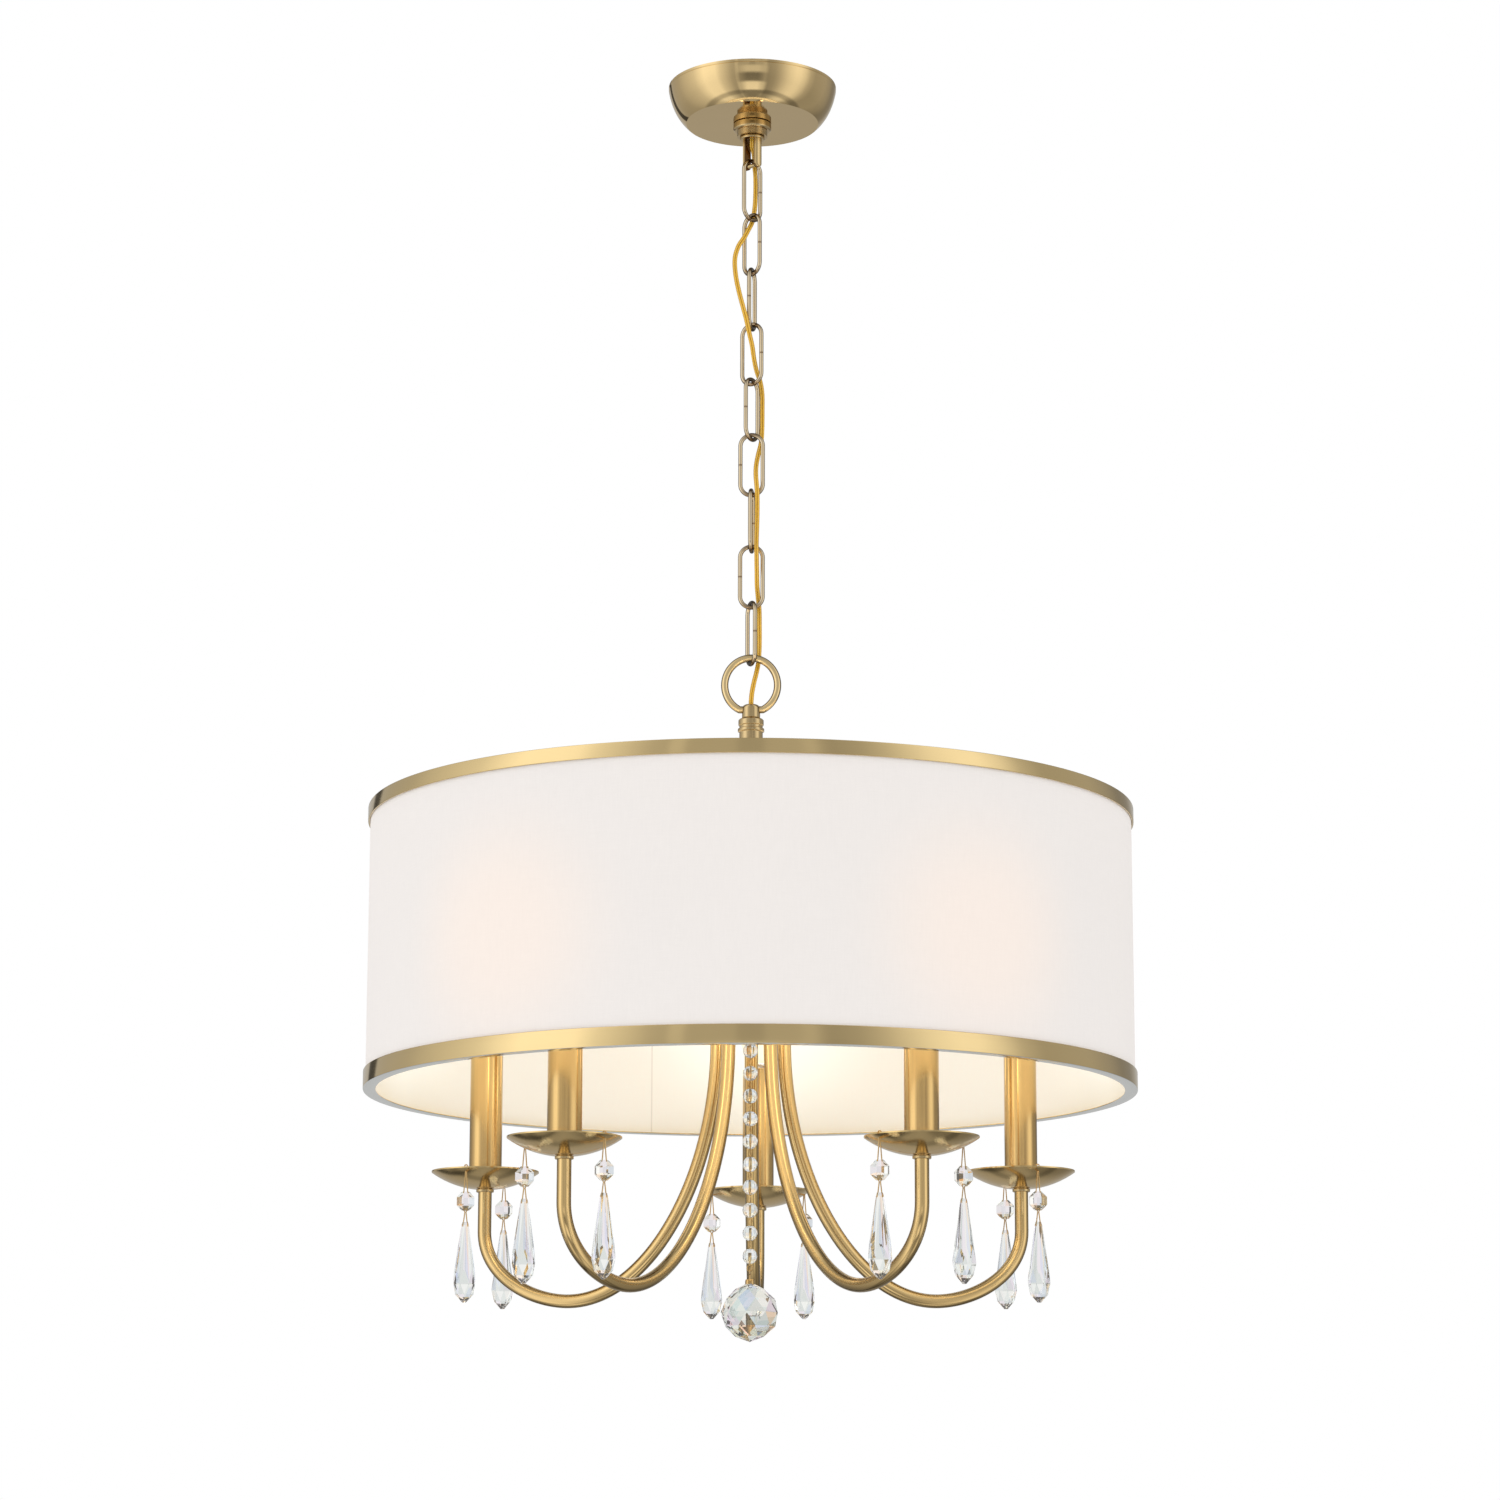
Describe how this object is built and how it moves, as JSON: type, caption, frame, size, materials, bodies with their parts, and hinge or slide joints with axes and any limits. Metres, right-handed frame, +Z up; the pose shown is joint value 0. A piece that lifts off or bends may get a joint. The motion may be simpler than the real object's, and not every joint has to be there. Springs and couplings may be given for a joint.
{
  "type": "chandelier",
  "caption": "Drum shade chandelier hung by a chain from a round canopy, with scrolled arms, candle sleeves, drip pans and cut crystal drops.",
  "frame": {"origin": "middle of the ceiling plane at the canopy rim; the object hangs below it", "axes": "+Z up into the ceiling, -Y the front, +X to the right seen from the front"},
  "size_m": [0.559, 0.559, 0.9457],
  "materials": {
    "zinc_steel": "zinc plated steel",
    "polished_brass": "polished aged brass",
    "chain_brass": "pale champagne brass",
    "ring_brass": "satin brass",
    "satin_brass": "satin brushed aged brass",
    "pan_brass": "polished aged brass",
    "band_brass": "brushed aged brass",
    "shade_cloth": "fine white cloth on a stiff liner",
    "frame_steel": "painted steel wire",
    "socket_plastic": "moulded socket body",
    "crystal": "clear cut crystal",
    "cord_plastic": "clear golden cord sheath"
  },
  "bodies": {
    "ceiling_mount": {"ceiling_crossbar": "zinc_steel", "canopy_nipple": "zinc_steel", "crossbar_locknut": "zinc_steel", "canopy_cup": "polished_brass", "canopy_collar": "polished_brass", "chain_hanger": "polished_brass", "supply_cord": "cord_plastic"},
    "link_1": {"chain_link_1": "chain_brass"},
    "link_2": {"chain_link_2": "chain_brass"},
    "link_3": {"chain_link_3": "chain_brass"},
    "link_4": {"chain_link_4": "chain_brass"},
    "link_5": {"chain_link_5": "chain_brass"},
    "link_6": {"chain_link_6": "chain_brass"},
    "link_7": {"chain_link_7": "chain_brass"},
    "link_8": {"chain_link_8": "chain_brass"},
    "link_9": {"chain_link_9": "chain_brass"},
    "ring": {"suspension_ring": "ring_brass"},
    "fixture": {"ring_holder": "satin_brass", "top_collar": "satin_brass", "shade_fabric": "shade_cloth", "shade_top_ring": "band_brass", "shade_bottom_ring": "band_brass", "shade_spider": "frame_steel", "centre_stem": "satin_brass", "hub_cover": "satin_brass", "arm_hub": "satin_brass", "hub_cap": "satin_brass", "arm_1": "satin_brass", "arm_2": "satin_brass", "arm_3": "satin_brass", "arm_4": "satin_brass", "arm_5": "satin_brass", "bobeche_1": "pan_brass", "bobeche_2": "pan_brass", "bobeche_3": "pan_brass", "bobeche_4": "pan_brass", "bobeche_5": "pan_brass", "candle_sleeve_1": "satin_brass", "candle_sleeve_2": "satin_brass", "candle_sleeve_3": "satin_brass", "candle_sleeve_4": "satin_brass", "candle_sleeve_5": "satin_brass", "lamp_socket_1": "socket_plastic", "lamp_socket_2": "socket_plastic", "lamp_socket_3": "socket_plastic", "lamp_socket_4": "socket_plastic", "lamp_socket_5": "socket_plastic"},
    "bead_string": {"bead_chain": "crystal"},
    "ball": {"crystal_ball": "crystal"},
    "drop_1": {"pendant_1": "crystal"},
    "drop_2": {"pendant_2": "crystal"},
    "drop_3": {"pendant_3": "crystal"},
    "drop_4": {"pendant_4": "crystal"},
    "drop_5": {"pendant_5": "crystal"},
    "drop_6": {"pendant_6": "crystal"},
    "drop_7": {"pendant_7": "crystal"},
    "drop_8": {"pendant_8": "crystal"},
    "drop_9": {"pendant_9": "crystal"},
    "drop_10": {"pendant_10": "crystal"}
  },
  "joints": [
    {"name": "link_1_swing", "type": "hinge", "parent": "ceiling_mount", "child": "link_1", "pos_m": [0, 0, -0.0616], "axis": [0.7071, -0.7071, 0], "range_deg": [-15, 15], "deforming": ["supply_cord"]},
    {"name": "link_2_swing", "type": "hinge", "parent": "link_1", "child": "link_2", "pos_m": [0, 0, -0.1046], "axis": [0.7071, 0.7071, 0], "range_deg": [-15, 15]},
    {"name": "link_3_swing", "type": "hinge", "parent": "link_2", "child": "link_3", "pos_m": [0, 0, -0.1476], "axis": [-0.7071, 0.7071, 0], "range_deg": [-15, 15]},
    {"name": "link_4_swing", "type": "hinge", "parent": "link_3", "child": "link_4", "pos_m": [0, 0, -0.1906], "axis": [-0.225, -0.9744, 0], "range_deg": [-15, 15]},
    {"name": "link_5_swing", "type": "hinge", "parent": "link_4", "child": "link_5", "pos_m": [0, 0, -0.2336], "axis": [0.866, -0.5, 0], "range_deg": [-15, 15]},
    {"name": "link_6_swing", "type": "hinge", "parent": "link_5", "child": "link_6", "pos_m": [0, 0, -0.2766], "axis": [0.5, 0.866, 0], "range_deg": [-15, 15]},
    {"name": "link_7_swing", "type": "hinge", "parent": "link_6", "child": "link_7", "pos_m": [0, 0, -0.3196], "axis": [-0.9962, 0.0872, 0], "range_deg": [-15, 15]},
    {"name": "link_8_swing", "type": "hinge", "parent": "link_7", "child": "link_8", "pos_m": [0, 0, -0.3626], "axis": [-0.0872, -0.9962, 0], "range_deg": [-15, 15]},
    {"name": "link_9_swing", "type": "hinge", "parent": "link_8", "child": "link_9", "pos_m": [0, 0, -0.4056], "axis": [1, 0, 0], "range_deg": [-15, 15]},
    {"name": "ring_swing", "type": "hinge", "parent": "link_9", "child": "ring", "pos_m": [0, 0, -0.4486], "axis": [-0.3584, 0.9336, 0], "range_deg": [-15, 15]},
    {"name": "fixture_swing", "type": "hinge", "parent": "ring", "child": "fixture", "pos_m": [0, 0, -0.4831], "axis": [-1, 0, 0], "range_deg": [-15, 15]},
    {"name": "bead_string_swing", "type": "hinge", "parent": "fixture", "child": "bead_string", "pos_m": [0, 0, -0.67368], "axis": [1, 0, 0], "range_deg": [-8, 8]},
    {"name": "ball_swing", "type": "hinge", "parent": "bead_string", "child": "ball", "pos_m": [0, 0, -0.89518], "axis": [1, 0, 0], "range_deg": [-20, 20]},
    {"name": "pendant_1_swing", "type": "hinge", "parent": "fixture", "child": "drop_1", "pos_m": [-0.15069, -0.147, -0.81656], "axis": [0.5878, 0.809, 0], "range_deg": [-10, 10]},
    {"name": "pendant_2_swing", "type": "hinge", "parent": "fixture", "child": "drop_2", "pos_m": [-0.09325, -0.18874, -0.81656], "axis": [-0.5878, -0.809, 0], "range_deg": [-10, 10]},
    {"name": "pendant_3_swing", "type": "hinge", "parent": "fixture", "child": "drop_3", "pos_m": [0.09325, -0.18874, -0.81656], "axis": [-0.5878, 0.809, 0], "range_deg": [-10, 10]},
    {"name": "pendant_4_swing", "type": "hinge", "parent": "fixture", "child": "drop_4", "pos_m": [0.15069, -0.147, -0.81656], "axis": [0.5878, -0.809, 0], "range_deg": [-10, 10]},
    {"name": "pendant_5_swing", "type": "hinge", "parent": "fixture", "child": "drop_5", "pos_m": [-0.18637, 0.09788, -0.81656], "axis": [0.9511, -0.309, 0], "range_deg": [-10, 10]},
    {"name": "pendant_6_swing", "type": "hinge", "parent": "fixture", "child": "drop_6", "pos_m": [-0.20831, 0.03036, -0.81656], "axis": [-0.9511, 0.309, 0], "range_deg": [-10, 10]},
    {"name": "pendant_7_swing", "type": "hinge", "parent": "fixture", "child": "drop_7", "pos_m": [0.20831, 0.03036, -0.81656], "axis": [-0.9511, -0.309, 0], "range_deg": [-10, 10]},
    {"name": "pendant_8_swing", "type": "hinge", "parent": "fixture", "child": "drop_8", "pos_m": [0.18637, 0.09788, -0.81656], "axis": [0.9511, 0.309, 0], "range_deg": [-10, 10]},
    {"name": "pendant_9_swing", "type": "hinge", "parent": "fixture", "child": "drop_9", "pos_m": [0.0355, 0.2075, -0.81656], "axis": [0, -1, 0], "range_deg": [-10, 10]},
    {"name": "pendant_10_swing", "type": "hinge", "parent": "fixture", "child": "drop_10", "pos_m": [-0.0355, 0.2075, -0.81656], "axis": [0, 1, 0], "range_deg": [-10, 10]}
  ]
}
